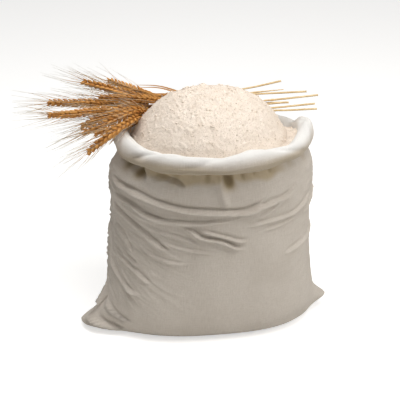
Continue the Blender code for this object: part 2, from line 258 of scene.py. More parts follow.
class Board:
    """A material under construction."""

    def __init__(self, name):
        self.material = bpy.data.materials.new(name)
        self.material.use_nodes = True
        self.tree = self.material.node_tree
        self.shader = self.tree.nodes["Principled BSDF"]

    def plug(self, socket, value):
        if isinstance(value, Value):
            self.tree.links.new(value.socket, socket)
        elif isinstance(value, (tuple, list)) and len(value) == 3 and socket.type == "RGBA":
            socket.default_value = (*value, 1.0)
        else:
            socket.default_value = value

    def add(self, kind, settings, sockets, out=0):
        """A node of any kind, with its settings and the values or links of its sockets."""
        node = self.tree.nodes.new(kind)
        for name, setting in settings.items():
            setattr(node, name, setting)
        for name, value in sockets.items():
            self.plug(node.inputs[name], value)
        return Value(self, node.outputs[out])

    def reckon(self, operation, first, second=None):
        sockets = {0: first} if second is None else {0: first, 1: second}
        return self.add("ShaderNodeMath", {"operation": operation}, sockets)

    def place(self):
        return self.add("ShaderNodeTexCoord", {}, {}, "Object")

    def drawn(self, name):
        """A number painted on the mesh's vertices."""
        return self.add("ShaderNodeAttribute", {"attribute_name": name}, {}, "Fac")

    def speckle(self, where, scale, detail=2.0, rough=0.5):
        return self.add("ShaderNodeTexNoise", {}, {"Vector": where, "Scale": scale, "Detail": detail,
                                                   "Roughness": rough}, "Fac")

    def cells(self, where, scale, out="Distance"):
        return self.add("ShaderNodeTexVoronoi", {}, {"Vector": where, "Scale": scale}, out)

    def blend(self, share, first, second):
        return self.add("ShaderNodeMix", {"data_type": "RGBA"}, {0: share, 6: first, 7: second}, 2)

    def relief(self, height, distance, strength=1.0):
        return self.add("ShaderNodeBump", {}, {"Height": height, "Distance": distance,
                                               "Strength": strength}, "Normal")

    def finish(self, colour, rough, relief=None, shine=0.5, fuzz=0.0):
        inputs = self.shader.inputs
        self.plug(inputs["Base Color"], colour)
        self.plug(inputs["Roughness"], rough)
        self.plug(inputs["Specular IOR Level"], shine)
        self.plug(inputs["Sheen Weight"], fuzz)
        if relief is not None:
            self.plug(inputs["Normal"], relief)
        return self.material


def cotton():
    """Unbleached calico: an even plain weave with slubs, a tan painted shade up under the rim and in
    the puckers, and a lighter rim top that is partly flour dusting and partly a painted highlight.
    """
    board = Board("cotton")
    cloth = board.add("ShaderNodeUVMap", {"uv_map": "cloth"}, {}, "UV")
    place = board.place()
    thread = 2.0 * math.pi / THREAD
    warp = (cloth.axis("X") * thread).sine()
    weft = (cloth.axis("Y") * thread).sine()
    weave = warp * weft
    slubs = board.speckle(cloth.scaled((900.0, 60.0, 1.0)), 1.0, 2.0)
    ribs = board.speckle(cloth.scaled((60.0, 900.0, 1.0)), 1.0, 2.0)
    fuzz = board.speckle(place, 420.0, 3.0, 0.65)
    patchy = board.speckle(place, 14.0, 3.0)
    plain = board.blend(patchy.between(0.35, 0.65), COTTON_SHADE, COTTON_PLAIN)
    worn = board.blend((fuzz.between(0.30, 0.70) - 0.5) * 0.9 + 0.35, plain, COTTON_SHADE)
    threads = board.blend((slubs + ribs - 1.0) * 0.9 + 0.3, worn, COTTON_FIBRE)
    # painted shade: tan under the rim and on the rim's underside, deeper in the puckers
    warm_shaded = board.blend(board.drawn("warm_shade"), threads, COTTON_WARM_SHADE)
    deep_shaded = board.blend(board.drawn("deep"), warm_shaded, COTTON_DEEP_SHADE)
    # the rim's top lightened, partly flour dusting and partly a painted highlight
    dust_and_highlight_blended = board.blend(board.drawn("dust_and_highlight"), deep_shaded, COTTON_DUST_AND_HIGHLIGHT)
    height = weave * 0.15 + slubs * 0.5 + ribs * 0.5 + fuzz * 1.2
    return board.finish(dust_and_highlight_blended, 0.95, board.relief(height, 0.0010, 0.8), 0.15, 0.08)


def wholemeal():
    """Creamy flour with flecks of bran."""
    board = Board("wholemeal")
    place = board.place()
    soft = board.speckle(place, 60.0, 4.0, 0.6)
    grain = board.speckle(place, 700.0, 3.0, 0.6)
    fleck = board.cells(place, 520.0)
    tone = board.cells(place, 520.0, "Color").axis("X")
    bran = (1.0 - fleck.between(0.14, 0.34)) * tone.over(0.40)
    pale = board.blend(soft.between(0.3, 0.7), FLOUR_SHADE, FLOUR_PLAIN)
    mealy = board.blend(grain.between(0.48, 0.66) * 0.45, pale, FLOUR_MEAL)
    flecked = board.blend(bran * 0.8, mealy, FLOUR_BRAN)
    height = grain * 0.7 + board.speckle(place, 260.0, 3.0, 0.6)
    return board.finish(flecked, 0.98, board.relief(height, 0.0014, 0.7), 0.1)


def husk():
    """Ripe chaff, darker at the root of each husk, with fine ribs along it."""
    board = Board("husk")
    place = board.place()
    along = board.drawn("along")
    tone = board.drawn("tone")
    fibre = board.speckle(place.scaled((260.0, 900.0, 900.0)), 1.0, 3.0)
    body = board.blend(tone, HUSK_DEEP, HUSK_GOLD)
    ribbed = board.blend(fibre.between(0.35, 0.7) * 0.6, body, HUSK_RUST)
    shaded = board.blend((1.0 - along.between(0.0, 0.45)) * 0.75, ribbed, HUSK_ROOT)
    return board.finish(shaded, 0.55, board.relief(fibre, 0.0003, 0.5), 0.35)


def straw():
    """Dry straw: pale gold with faint streaks."""
    board = Board("straw")
    place = board.place()
    streak = board.speckle(place.scaled((30.0, 700.0, 700.0)), 1.0, 3.0)
    body = board.blend(streak.between(0.3, 0.7), STRAW_DEEP, STRAW_PALE)
    blotch = board.speckle(place, 45.0, 2.0)
    brown = blotch.between(0.55, 0.8) * 0.5 + board.drawn("ripe").between(0.42, 0.72)
    aged = board.blend(brown, body, STRAW_BROWN)
    return board.finish(aged, 0.42, board.relief(streak, 0.0002, 0.4))


def awn():
    board = Board("awn")
    tone = board.speckle(board.place(), 120.0, 2.0)
    tip = board.blend(tone.between(0.3, 0.7), AWN_DEEP, AWN_PALE)
    body = board.blend(board.drawn("along").between(0.15, 0.75), AWN_ROOT, tip)
    return board.finish(body, 0.6, shine=0.3)


def bran():
    board = Board("bran")
    tone = board.speckle(board.place(), 300.0, 1.0)
    body = board.blend(tone.between(0.3, 0.7), BRAN_DEEP, BRAN_PALE)
    return board.finish(body, 0.9, shine=0.1)


# ---------------------------------------------------------------- smooth lines
def ease(before, start, end, after, part):
    """One place on the smooth line that runs through four points or values."""
    bend = 2.0 * before - 5.0 * start + 4.0 * end - after
    twist = 3.0 * start - before - 3.0 * end + after
    return 0.5 * (2.0 * start + (end - before) * part + bend * part ** 2 + twist * part ** 3)


def smooth_line(places, steps):
    line = [np.array(place, float) for place in places]
    line = [2.0 * line[0] - line[1]] + line + [2.0 * line[-1] - line[-2]]
    smooth = []
    for index in range(1, len(line) - 2):
        for step in range(steps):
            smooth.append(ease(*line[index - 1:index + 3], step / steps))
    smooth.append(line[-2])
    return np.array(smooth)


def even_line(line, count):
    """The same line as a number of evenly spaced points."""
    walked = walked_along(line)
    stops = np.linspace(0.0, walked[-1], count)
    return np.stack([np.interp(stops, walked, line[:, axis]) for axis in range(3)], axis=1)


def walked_along(line):
    """How far along the line each of its points lies."""
    return np.r_[0.0, np.cumsum(np.linalg.norm(np.diff(line, axis=0), axis=1))]


def half_turns(degrees):
    """The same angles, from -180 to 180."""
    return (degrees + 180.0) % 360.0 - 180.0


def bump(distance, half):
    return np.exp(-(distance / half) ** 2)


def step_up(value, low, high):
    part = np.clip((value - low) / (high - low), 0.0, 1.0)
    return part * part * (3.0 - 2.0 * part)


def signed_power(value, exponent):
    return np.sign(value) * np.abs(value) ** exponent


def ripple(points, scale, seed):
    """Smooth noise at each of many points."""
    shift = Vector((seed, seed * 1.7, -seed))
    return np.array([noise.noise(Vector(point) * scale + shift) for point in points])


# ---------------------------------------------------------------- making meshes
def bearings():
    """Bearings of the columns, which lie closer together round the front."""
    even = 2.0 * math.pi * np.arange(COLUMNS) / COLUMNS
    return even - 0.35 * np.sin(even)


def slumped(points):
    """The back of the mouth hangs lower and nearer than the front."""
    x, y, z = np.asarray(points, float).T
    rim = step_up(np.hypot(x / MOUTH_WIDE, y / MOUTH_DEEP), 0.70, 0.95)
    behind = rim * step_up(y, -0.015, 0.045) * step_up(z, 0.190, 0.285)
    return np.stack([x, y * (1.0 - DRAWN_IN * behind), z - SLUMP * behind], axis=1)


def oval(turn, wide, deep, square):
    x = wide * signed_power(np.sin(turn), 2.0 / square)
    y = -deep * signed_power(np.cos(turn), 2.0 / square)
    return x, y + MOUTH_BACK


def select_none():
    if bpy.context.object and bpy.context.object.mode != "OBJECT":
        bpy.ops.object.mode_set(mode="OBJECT")
    bpy.ops.object.select_all(action="DESELECT")


def make_active(item):
    select_none()
    item.select_set(True)
    bpy.context.view_layer.objects.active = item


def new_piece(name, points, faces, material):
    mesh = bpy.data.meshes.new(name)
    mesh.from_pydata(np.asarray(points).tolist(), [], faces)
    mesh.materials.append(material)
    mesh.shade_smooth()
    made = bpy.data.objects.new(name, mesh)
    bpy.context.scene.collection.objects.link(made)
    return made


def paint(item, name, values):
    layer = item.data.attributes.new(name, "FLOAT", "POINT")
    layer.data.foreach_set("value", np.asarray(values, dtype=np.float32))


def belongs(item, nodes):
    """The piece stands for CAD nodes and rides with the sack."""
    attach(item, "root")
    if nodes:
        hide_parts(*nodes)


# ---------------------------------------------------------------- sack
def wall_sizes(height):
    square = SQUARE_FOOT + (SQUARE_NECK - SQUARE_FOOT) * height / WALL[-1][0]
    last = len(WALL) - 1
    low = max(index for index in range(last) if WALL[index][0] <= height)
    part = (height - WALL[low][0]) / (WALL[low + 1][0] - WALL[low][0])
    around = [WALL[min(max(low + step, 0), last)][1:] for step in (-1, 0, 1, 2)]
    if low < 2:
        sizes = [a + (b - a) * part for a, b in zip(WALL[low][1:], WALL[low + 1][1:])]
    else:
        sizes = [ease(*values, part) for values in zip(*around)]
    return (*sizes, square)


def fold_push(turn, height):
    """How far the drag folds move the cloth outward, over a grid of bearings and heights."""
    degrees = np.degrees(turn)
    total = np.zeros(np.broadcast(degrees, height).shape)
    for ridge, half, depth, line in FOLDS:
        middle = 0.5 * (line[0][0] + line[-1][0])
        across = (degrees + 360.0 * np.round((middle - degrees) / 360.0)) * ARC
        up = height * 1000.0
        path = smooth_line([(place * ARC, level) for place, level in line], 5)
        best = np.full(total.shape, 1.0e9)
        below = np.zeros(total.shape)
        along = np.zeros(total.shape)
        spans = len(path) - 1
        for index in range(spans):
            (ax, ay), (bx, by) = path[index], path[index + 1]
            dx, dy = bx - ax, by - ay
            part = np.clip(((across - ax) * dx + (up - ay) * dy) / (dx * dx + dy * dy), 0.0, 1.0)
            gap_x, gap_y = across - ax - part * dx, up - ay - part * dy
            gap = np.hypot(gap_x, gap_y)
            nearer = gap < best
            best = np.where(nearer, gap, best)
            below = np.where(nearer, gap_y < 0.0, below)
            along = np.where(nearer, (index + part) / spans, along)
        fade = step_up(along, 0.0, 0.25) * (1.0 - step_up(along, 0.72, 1.0))
        over = np.where(below > 0.5, best, -best)
        valley = depth * bump(over + 1.7 * half, 1.1 * half)
        total += fade * (1.35 * ridge * bump(best, 0.85 * half) - 0.8 * valley)
    return FOLD_SCALE * total / 1000.0


def pucker_push(turn, height):
    """Puckers that fade down from the rim, and how deep in one each place is."""
    degrees = half_turns(np.degrees(turn))
    total = np.zeros(np.broadcast(degrees, height).shape)
    for bearing, depth, half, long in PUCKERS:
        offset = half_turns(degrees - bearing)
        lean = 0.10 * (290.0 - height * 1000.0)
        fade = step_up(height * 1000.0, 286.0 - long, 286.0 - 0.25 * long)
        total += depth * bump(offset - lean * 0.4, half) * fade
    bearing, tall, half = PLEAT
    offset = degrees - bearing - 0.07 * (285.0 - height * 1000.0)
    stretch = step_up(height * 1000.0, 226.0, 246.0) * (1.0 - step_up(height * 1000.0, 276.0, 290.0))
    pleat = tall * bump(offset, half) * stretch
    return (pleat - total) / 1000.0, np.clip(total / 5.0, 0.0, 1.0)


def sag(turn, height):
    belly = np.sin(math.pi * np.minimum(1.0, height / 0.29))
    swell = 0.0022 * np.sin(3.0 * turn + 9.0 * height + 0.6)
    swell = swell + 0.0016 * np.sin(5.0 * turn - 21.0 * height)
    swell = swell + 0.0014 * np.sin(2.0 * turn + 34.0 * height + 1.1)
    return belly * swell


def creases(turn, height):
    """Fine drag wrinkles that run down toward the middle of the front and of the back."""
    degrees = half_turns(np.degrees(turn))
    facing = np.where(np.abs(degrees) < 90.0, degrees, 180.0 * np.sign(degrees) - degrees)
    arc = facing * ARC
    up = height * 1000.0
    slope = 0.16 + 0.45 * np.clip((250.0 - up) / 200.0, 0.0, 1.0)
    across = up - slope * np.abs(arc) ** 1.05
    side = np.where(np.abs(degrees) < 90.0, 0.0, 40.0)
    grid = np.broadcast_arrays(across / 15.0, arc / 80.0, side)
    points = np.stack(grid, axis=-1).reshape(-1, 3)
    fine = ripple(points, 1.0, 3.0).reshape(across.shape)
    finer = ripple(points * (2.3, 1.7, 1.0), 1.0, 9.0).reshape(across.shape)
    sharp = np.clip(1.0 - 2.6 * np.abs(fine), 0.0, 1.0) ** 2
    keen = np.clip(1.0 - 2.6 * np.abs(finer), 0.0, 1.0) ** 2
    where = 0.22 + 0.78 * step_up(np.abs(facing), 10.0, 62.0)
    high = step_up(up, 20.0, 90.0) * (1.0 - step_up(up, 256.0, 280.0))
    calm = 0.4 + 0.6 * step_up(-facing, -10.0, 30.0)
    return (3.0 * sharp + 1.0 * keen + 0.8 * fine) * where * high * calm / 1000.0


def ear_reach(side, y, height):
    total = 0.0
    for which, reach, middle, half_deep, tip, half_high in EARS:
        if which == side:
            drop = height - tip
            rise = math.exp(-(drop / half_high) ** 2) if drop > 0.0 else 1.0 - (drop / 0.013) ** 2
            total = total + reach * max(0.0, rise) * bump(y - middle, half_deep)
    return total


def wall_rows():
    """Rows of the wall from the floor to the neck, with the painted shade of each place: a tan band
    under the overhanging rim and deeper shade in the puckers.
    """
    foot = 0.040 * (np.arange(20) / 20.0) ** 1.5
    heights = np.r_[foot, np.linspace(0.040, WALL[-1][0], 152)]
    turn = bearings()[None, :]
    level = heights[:, None]
    pushes, depth = pucker_push(turn, level)
    push = sag(turn, level) + fold_push(turn, level) + pushes + creases(turn, level)
    rows = []
    for row, height in enumerate(heights):
        x, y = oval(turn[0], *wall_sizes(height))
        reach = np.where(x > 0.0, ear_reach(1, y, height), -ear_reach(-1, y, height))
        reach = reach * (np.abs(np.sin(turn[0])) > 0.5)
        out = np.stack([x, y - MOUTH_BACK], axis=1)
        out /= np.linalg.norm(out, axis=1)[:, None]
        out[:, 1] -= np.clip(np.abs(reach) / 0.012, 0.0, 1.5) * (y < -0.02)
        out /= np.linalg.norm(out, axis=1)[:, None]
        settle = min(1.0, height / 0.006)
        rows.append(np.stack([x + out[:, 0] * push[row] * settle + reach,
                              y + out[:, 1] * push[row] * settle,
                              np.full(COLUMNS, height)], axis=1))
    # painted shade: a ragged tan band under the overhanging rim at the front and shade in the puckers;
    # the last list is the deeper shade in the puckers
    ragged = 0.5 + 0.28 * np.sin(9.0 * turn + 1.0) + 0.22 * np.sin(23.0 * turn + 0.4)
    under = step_up(level, 0.262 + 0.010 * ragged, 0.272 + 0.010 * ragged)
    front = step_up(np.cos(turn + 0.10), 0.62, 0.80)
    warm_shade = np.maximum(under * front * 0.8, 1.4 * depth * step_up(level, 0.240, 0.262))
    return rows, list(np.clip(warm_shade, 0.0, 1.0)), list(np.clip(1.7 * depth - 0.45, 0.0, 1.0))


def rim_shape(turn):
    """Girth, lift and outward push of the rolled rim round the mouth."""
    degrees = half_turns(np.degrees(turn))
    girth = 1.0 + 0.05 * np.sin(4.0 * turn + 0.5) + 0.04 * np.sin(7.0 * turn)
    girth = girth + 0.24 * bump(degrees + 70.0, 14.0) - 0.10 * bump(degrees + 48.0, 7.0)
    girth = girth + 0.16 * bump(degrees - 72.0, 18.0) - 0.16 * bump(degrees - 38.0, 10.0)
    girth = girth - 0.06 * bump(degrees + 4.0, 12.0)
    lift = 0.0010 * np.sin(2.0 * turn + 0.9) + 0.0008 * np.sin(5.0 * turn)
    lift = lift + 0.0022 * bump(degrees, 42.0) - 0.0014 * bump(degrees - 2.0, 7.0)
    push = 0.0042 * bump(degrees - 42.0, 13.0) - 0.0070 * bump(degrees + 96.0, 30.0)
    return girth, lift, push


def rim_dents(degrees, angle):
    total = np.zeros(degrees.shape)
    reach = step_up(angle, -50.0, 5.0) * (1.0 - step_up(angle, 120.0, 165.0))
    for bearing, slant, half, depth in DENTS:
        offset = half_turns(degrees - bearing - slant * (angle - 40.0))
        total += depth * bump(offset, half) - 0.35 * depth * bump(offset - 2.0 * half, half)
    return total * reach / 1000.0


def roll_rows():
    turn = bearings()
    degrees = half_turns(np.degrees(turn))
    girth, lift, push = rim_shape(turn)
    wide, deep = MOUTH_WIDE + push, MOUTH_DEEP + push
    front = step_up(np.cos(turn + 0.3), -0.2, 0.6)
    rows, dust_and_highlight, warm_shade, deep_shade = [], [], [], []
    for angle in np.linspace(-97.0, 172.0, 50):
        around = math.radians(angle)
        x, y = oval(turn, wide, deep, SQUARE_NECK)
        ring = np.stack([x * 9.0, y * 9.0, np.full(COLUMNS, around * 0.55)], axis=1)
        soft = 0.0013 * ripple(ring * (2.2, 2.2, 1.0), 1.0, 5.0)
        soft += 0.0007 * ripple(ring * (6.0, 6.0, 2.2), 1.0, 8.0)
        hem = bump(angle + 30.0 - 6.0 * np.sin(3.0 * turn), 7.0) - 0.7 * bump(angle + 12.0, 7.0)
        hem = 0.0015 * hem * (0.35 + 0.65 * bump(degrees + 24.0, 22.0))
        dent = rim_dents(degrees, angle) + hem - soft
        out = girth * ROLL_HALF_THICK * math.cos(around) - dent * math.cos(around)
        x, y = oval(turn, wide + out, deep + out, SQUARE_NECK)
        high = ROLL_HALF_HIGH * girth - dent
        z = MOUTH_HIGH + high * math.sin(around) + lift
        rows.append(np.stack([x, y, z], axis=1))
        # the rim's top lightened, partly flour dusting and partly a painted highlight
        dust_and_highlight.append(np.full(COLUMNS, float(step_up(angle, -5.0, 60.0))))
        # painted shade on the rim's underside at the front
        under = front * (1.0 - step_up(angle + 14.0 * np.sin(5.0 * turn + 1.0), -25.0, 30.0))
        warm_shade.append(0.45 * under)
        deep_shade.append(0.28 * under)
    return rows, dust_and_highlight, warm_shade, deep_shade


def inner_rows():
    """The cloth inside the mouth, which runs down out of sight into the flour."""
    turn = bearings()
    rows = []
    for height, shrink in ((0.300, 0.0112), (0.295, 0.0135), (0.288, 0.0175)):
        x, y = oval(turn, MOUTH_WIDE - shrink, MOUTH_DEEP - shrink, SQUARE_NECK)
        rows.append(np.stack([x, y, np.full(COLUMNS, height)], axis=1))
    return rows


def closing_rows(ring, shares):
    """Rings that shrink to the middle, to close the cloth."""
    middle = ring.mean(axis=0)
    return [middle + (ring - middle) * (share, share, 1.0) for share in shares]


def cloth_map(item, rows):
    """Cloth coordinates in metres, along the weft and along the warp."""
    grid = np.array(rows)
    warp = np.r_[0.0, np.cumsum(np.linalg.norm(np.diff(grid, axis=0), axis=2).mean(axis=1))]
    middle = grid[len(rows) // 2]
    weft = np.linalg.norm(np.roll(middle, -1, axis=0) - middle, axis=1)
    weft = np.r_[0.0, np.cumsum(weft)]
    layer = item.data.uv_layers.new(name="cloth")
    corners = np.zeros(len(item.data.loops), dtype=np.int32)
    item.data.loops.foreach_get("vertex_index", corners)
    row, column = corners // COLUMNS, corners % COLUMNS
    row = np.minimum(row, len(rows) - 1)
    starts = np.repeat(np.arange(0, len(corners), 4), 4)[:len(corners)]
    first = column[np.minimum(starts, len(corners) - 1)]
    wrapped = (column == 0) & (first == COLUMNS - 1)
    u = np.where(wrapped, weft[-1], weft[column])
    layer.data.foreach_set("uv", np.stack([u, warp[row]], axis=1).astype(np.float32).ravel())


def make_sack(material):
    wall, warm_shade, deep = wall_rows()
    roll, dust_and_highlight, roll_warm_shade, roll_deep_shade = roll_rows()
    inner = inner_rows()
    base = closing_rows(wall[0], (0.02, 0.35, 0.7, 0.9))
    lid = closing_rows(inner[-1], (0.9, 0.5, 0.02))
    rows = base + wall + roll + inner + lid
    rows = [slumped(row) for row in rows]
    points = np.concatenate(rows)
    faces = []
    for row in range(len(rows) - 1):
        for column in range(COLUMNS):
            after = (column + 1) % COLUMNS
            low, high = row * COLUMNS, (row + 1) * COLUMNS
            faces.append((low + column, low + after, high + after, high + column))
    last = (len(rows) - 1) * COLUMNS
    faces.append(tuple(reversed(range(COLUMNS))))
    faces.append(tuple(range(last, last + COLUMNS)))
    sack = new_piece("cotton_sack", points, faces, material)
    plain = np.zeros(COLUMNS)
    still = [plain] * len(base)
    rest = len(inner) + len(lid)
    # painted shade under the rim and in the puckers, and the rim top's mix of flour dusting and painted
    # highlight, carried as vertex attributes
    paint(sack, "warm_shade", np.concatenate(still + warm_shade + roll_warm_shade + [plain] * rest))
    paint(sack, "deep", np.concatenate(still + deep + roll_deep_shade + [plain] * rest))
    paint(sack, "dust_and_highlight", np.concatenate(still + [plain] * len(wall) + dust_and_highlight + [plain + 1.0] * rest))
    cloth_map(sack, rows)
    belongs(sack, ["sack"])
    return sack


# ---------------------------------------------------------------- flour
def heap_height(x, y):
    dx, dy = x - HEAP_AT[0], y - HEAP_AT[1]
    deep = HEAP_BACK if dy > 0.0 else HEAP_FRONT
    out = math.hypot(dx / HEAP_WIDE, dy / deep)
    level = TROUGH + HEAP_RISE * max(0.0, 1.0 - out ** 3.2)
    spot = Vector((x, y, level))
    lumps = 0.0024 * noise.noise(spot * 34.0) + 0.0012 * noise.noise(spot * 90.0 + Vector((3, 1, 7)))
    clods = max(0.0, noise.noise(spot * 150.0 + Vector((9, 2, 4))) - 0.15) * 0.0036
    meal = 0.0011 * noise.noise(spot * 280.0 + Vector((5, 8, 1)))
    cap = 0.0045 * math.exp(-(((x + 0.012) / 0.006) ** 2 + ((y - 0.002) / 0.007) ** 2))
    return level + lumps * max(0.25, 1.0 - out ** 2) + clods + meal + cap


def make_flour(material):
    """A sheet of fine relief, heaped, with sides and a flat underside."""
    select_none()
    wide, deep = MOUTH_WIDE - 0.007, MOUTH_DEEP - 0.007
    bpy.ops.mesh.primitive_grid_add(x_subdivisions=int(2 * wide / GRAIN),
                                    y_subdivisions=int(2 * deep / GRAIN), size=2.0)
    heap = bpy.context.object
    heap.name = "flour_heap"
    heap.data.name = "flour_heap"
    count = len(heap.data.vertices)
    points = np.empty(count * 3, dtype=np.float32)
    heap.data.vertices.foreach_get("co", points)
    points = points.reshape(-1, 3).astype(float)
    # squeeze the square sheet into the round mouth
    u, v = points[:, 0].copy(), points[:, 1].copy()
    points[:, 0] = u * np.sqrt(1.0 - 0.5 * v * v) * wide
    points[:, 1] = v * np.sqrt(1.0 - 0.5 * u * u) * deep + MOUTH_BACK
    points[:, 2] = [heap_height(x, y) for x, y in points[:, :2]]
    edge = np.hypot(points[:, 0] / wide, (points[:, 1] - MOUTH_BACK) / deep)
    brim = step_up(edge, 0.90, 1.0)
    points[:, 2] = points[:, 2] * (1.0 - brim) + np.minimum(points[:, 2], 0.3065) * brim
    points = slumped(points)
    heap.data.vertices.foreach_set("co", points.astype(np.float32).ravel())
    make_active(heap)
    bpy.ops.object.mode_set(mode="EDIT")
    bpy.ops.mesh.select_all(action="SELECT")
    bpy.ops.mesh.region_to_loop()
    bpy.ops.mesh.extrude_region_move(TRANSFORM_OT_translate={"value": (0.0, 0.0, -0.012)})
    bpy.ops.mesh.edge_face_add()
    bpy.ops.mesh.select_all(action="SELECT")
    bpy.ops.mesh.normals_make_consistent(inside=False)
    bpy.ops.object.mode_set(mode="OBJECT")
    heap.data.materials.append(material)
    heap.data.shade_smooth()
    belongs(heap, ["flour"])
    return heap


def scatter_spots(count, seed, reach=0.97):
    """Places on the heap, and the height of the flour at each."""
    draw = random.Random(seed)
    spots = []
    while len(spots) < count:
        x = draw.uniform(-1.0, 1.0) * (MOUTH_WIDE - 0.012)
        y = draw.uniform(-1.0, 1.0) * (MOUTH_DEEP - 0.012)
        if math.hypot(x / (MOUTH_WIDE - 0.012), y / (MOUTH_DEEP - 0.012)) < reach:
            spots.append((x, y + MOUTH_BACK, heap_height(x, y + MOUTH_BACK)))
    return slumped(spots)


def mesh_arrays(item):
    """Points and faces of a modelled piece, which is then thrown away."""
    points = np.array([vertex.co[:] for vertex in item.data.vertices])
    faces = [tuple(face.vertices) for face in item.data.polygons]
    bpy.data.objects.remove(item, do_unlink=True)
    return points, faces


def model_crumb():
    select_none()
    bpy.ops.mesh.primitive_ico_sphere_add(subdivisions=2, radius=1.0)
    crumb = bpy.context.object
    for vertex in crumb.data.vertices:
        vertex.co *= 1.0 + 0.45 * noise.noise(vertex.co * 1.3 + Vector((2.0, 5.0, 1.0)))
    return mesh_arrays(crumb)


def shifted(faces, count):
    """The faces as they are numbered after that many other points."""
    return [tuple(corner + count for corner in face) for face in faces]


def join_copies(shape, places):
    """One mesh from many placed copies of a shape."""
    points, faces = shape
    count = len(points)
    all_points, all_faces = [], []
    for index, place in enumerate(places):
        turn = np.array(place.to_3x3())
        all_points.append(points @ turn.T + np.array(place.translation))
        all_faces.extend(shifted(faces, index * count))
    return np.concatenate(all_points), all_faces


def random_turn(draw):
    about_z = Matrix.Rotation(draw.uniform(0, 6.28), 4, "Z")
    return about_z @ Matrix.Rotation(draw.uniform(0, 6.28), 4, "X")


def make_crumbs(material):
    draw = random.Random(11)
    shape = model_crumb()
    places = []
    for x, y, z in scatter_spots(CRUMB_COUNT, 21):
        size = 0.0005 + 0.0013 * draw.random() ** 3
        squash = Matrix.Diagonal((size, size, size * 0.7, 1.0))
        places.append(Matrix.Translation((x, y, z + size * 0.25)) @ random_turn(draw) @ squash)
    points, faces = join_copies(shape, places)
    crumbs = new_piece("flour_crumbs", points, faces, material)
    belongs(crumbs, [])


def make_bran(material):
    """Thin flakes of bran lying in the flour."""
    draw = random.Random(12)
    select_none()
    bpy.ops.mesh.primitive_circle_add(vertices=6, radius=1.0, fill_type="TRIFAN")
    flake = bpy.context.object
    make_active(flake)
    bpy.ops.object.mode_set(mode="EDIT")
    bpy.ops.mesh.select_all(action="SELECT")
    bpy.ops.mesh.extrude_region_move(TRANSFORM_OT_translate={"value": (0.0, 0.0, 0.25)})
    bpy.ops.mesh.select_all(action="SELECT")
    bpy.ops.mesh.normals_make_consistent(inside=False)
    bpy.ops.object.mode_set(mode="OBJECT")
    shape = mesh_arrays(flake)
    places = []
    for x, y, z in scatter_spots(BRAN_COUNT, 22):
        size = 0.00028 + 0.00045 * draw.random() ** 2
        lie = Matrix.Rotation(draw.uniform(0, 6.28), 4, "Z")
        lie = lie @ Matrix.Rotation(draw.uniform(-0.6, 0.6), 4, "X")
        squash = Matrix.Diagonal((size, size * draw.uniform(0.45, 0.9), size * 0.6, 1.0))
        places.append(Matrix.Translation((x, y, z)) @ lie @ squash)
    points, faces = join_copies(shape, places)
    flakes = new_piece("bran_flakes", points, faces, material)
    belongs(flakes, [])


# ---------------------------------------------------------------- wheat
def tube(line, radii, sides=TUBE_SIDES, flat=1.0):
    """Points and faces of a closed tube along a line, which may be flattened."""
    points, faces = [], []
    across = Vector((0.0, 0.0, 1.0))
    count = len(line)
    for index in range(count):
        ahead = Vector(line[min(index + 1, count - 1)] - line[max(index - 1, 0)]).normalized()
        across = (across - ahead * across.dot(ahead)).normalized()
        beside = ahead.cross(across)
        for side in range(sides):
            angle = 2.0 * math.pi * side / sides
            offset = across * math.cos(angle) * flat + beside * math.sin(angle)
            points.append(np.array(line[index]) + np.array(offset) * radii[index])
    for index in range(count - 1):
        for side in range(sides):
            after = (side + 1) % sides
            low, high = index * sides, (index + 1) * sides
            faces.append((low + side, low + after, high + after, high + side))
    faces.append(tuple(reversed(range(sides))))
    faces.append(tuple(range((count - 1) * sides, count * sides)))
    return points, faces


def straw_radii(line, number):
    """A straw tapers to its ear, with swollen joints along it and a leaf sheath on some."""
    walked = walked_along(line)
    part = walked / walked[-1]
    radii = STRAW_RADIUS * (1.05 - 0.35 * part)
    joint = 0.070 + 0.013 * (number % 4)
    radii = radii + 0.0006 * bump(walked - joint, 0.0022)
    if number in (1, 3):
        sheath = step_up(walked, joint - 0.02, joint - 0.012) * (1 - step_up(part, 0.5, 0.62))
        radii = radii + 0.0011 * sheath
    if number in (2, 7):
        radii = radii * (0.45 + 0.55 * step_up(walked, 0.0, 0.06))
    return radii


def blade_widths(count):
    """A leaf blade swells from its root and runs out to a point."""
    part = np.linspace(0.0, 1.0, count)
    return BLADE_HALF_WIDE * (np.minimum(1.0, part * 6.0 + 0.3) * (1.0 - part) ** 0.6 + 0.05)


def leaf_blades(line, ear, number):
    """Dry leaf blades that leave the straw and lie along the ear."""
    draw = random.Random(60 + number)
    tip = np.array(ear[-1], float) / 1000.0
    blades = []
    for _ in range(2):
        root = line[int(draw.uniform(0.62, 0.80) * (len(line) - 1))]
        aim = root + (tip - root) * draw.uniform(0.55, 0.8)
        aim = aim + np.array([0.0, draw.uniform(-0.016, 0.016), draw.uniform(-0.010, 0.006)])
        middle = 0.5 * (root + aim) + np.array([0.0, draw.uniform(-0.008, 0.008), 0.007])
        blades.append(even_line(smooth_line([root, middle, aim], 10), 24))
    return blades


def make_straw(number, straw, ear, material):
    line = smooth_line(list(straw) + [ear[0], ear[1]], 8)[:8 * len(straw) + 3] / 1000.0
    line = even_line(line, 90)
    points, faces = tube(line, straw_radii(line, number))
    ripe = list(np.repeat(np.linspace(0.0, 1.0, len(line)), TUBE_SIDES))
    for blade in leaf_blades(line, ear, number):
        own_points, own_faces = tube(blade, blade_widths(len(blade)), 8, 0.06)
        faces.extend(shifted(own_faces, len(points)))
        points.extend(own_points)
        ripe.extend([1.0] * len(own_points))
    made = new_piece(f"straw_{number:02d}", points, faces, material)
    paint(made, "ripe", ripe)
    belongs(made, [f"wheat_{number:02d}"])


